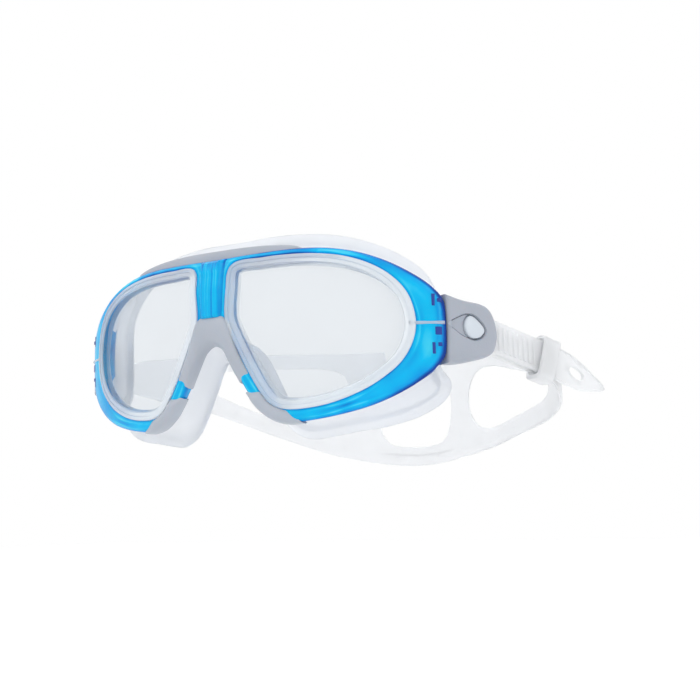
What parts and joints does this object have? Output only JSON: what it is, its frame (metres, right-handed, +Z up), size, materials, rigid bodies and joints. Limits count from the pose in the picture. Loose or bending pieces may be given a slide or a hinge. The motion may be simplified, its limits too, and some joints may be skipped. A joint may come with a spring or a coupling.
{
  "type": "swim goggles",
  "caption": "Wide swim mask with a wrapped blue frame, clear lens panels, soft skirt, push-button strap clips and a split silicone head strap.",
  "frame": {"origin": "on the mid plane at the height of the temples, in the plane of the face seal at the bridge of the nose", "axes": "+Z up when worn, -Y the way the wearer looks, +X the wearer's left"},
  "size_m": [0.2336, 0.1726, 0.082],
  "materials": {
    "blue": "glossy translucent blue polycarbonate",
    "lens": "clear polished polycarbonate",
    "soft_grey": "satin grey thermoplastic rubber, moulded on",
    "silicone": "frosted translucent silicone",
    "strap": "satin translucent silicone",
    "grey": "fine satin grey moulded plastic",
    "white": "frosted white plastic",
    "steel": "plain stainless steel"
  },
  "bodies": {
    "mask": {"frame": "blue", "lens_left": "lens", "lens_right": "lens", "nose_grip": "soft_grey", "brow_grip": "soft_grey", "skirt": "silicone", "head_strap": "strap", "hinge_pin_left": "steel", "hinge_pin_right": "steel"},
    "left_clip": {"clip_housing_left": "grey", "clip_cover_left": "grey", "strap_bar_left": "steel", "button_springs_left": "steel", "strap_end_left": "strap"},
    "right_clip": {"clip_housing_right": "grey", "clip_cover_right": "grey", "strap_bar_right": "steel", "button_springs_right": "steel", "strap_end_right": "strap"},
    "left_button": {"button_left": "white"},
    "right_button": {"button_right": "white"},
    "left_keeper": {"keeper_left": "strap"},
    "right_keeper": {"keeper_right": "strap"}
  },
  "joints": [
    {"name": "left_clip_hinge", "type": "hinge", "parent": "mask", "child": "left_clip", "pos_m": [0.0744, 0.0078, 0], "axis": [0, 0, 1], "range_deg": [0, 12]},
    {"name": "right_clip_hinge", "type": "hinge", "parent": "mask", "child": "right_clip", "pos_m": [-0.0744, 0.0078, 0], "axis": [0, 0, -1], "range_deg": [0, 12]},
    {"name": "left_button_press", "type": "slide", "parent": "left_clip", "child": "left_button", "axis": [-0.848, 0.5299, 0], "range_m": [0, 0.001], "stiffness_N_per_m": 400},
    {"name": "right_button_press", "type": "slide", "parent": "right_clip", "child": "right_button", "axis": [0.848, 0.5299, 0], "range_m": [0, 0.001], "stiffness_N_per_m": 400},
    {"name": "left_keeper_slide", "type": "slide", "parent": "left_clip", "child": "left_keeper", "axis": [-0.5076, -0.8123, 0.2873], "range_m": [0, 0.014]},
    {"name": "right_keeper_slide", "type": "slide", "parent": "right_clip", "child": "right_keeper", "axis": [0.5273, -0.8438, -0.0995], "range_m": [0, 0.014]}
  ]
}
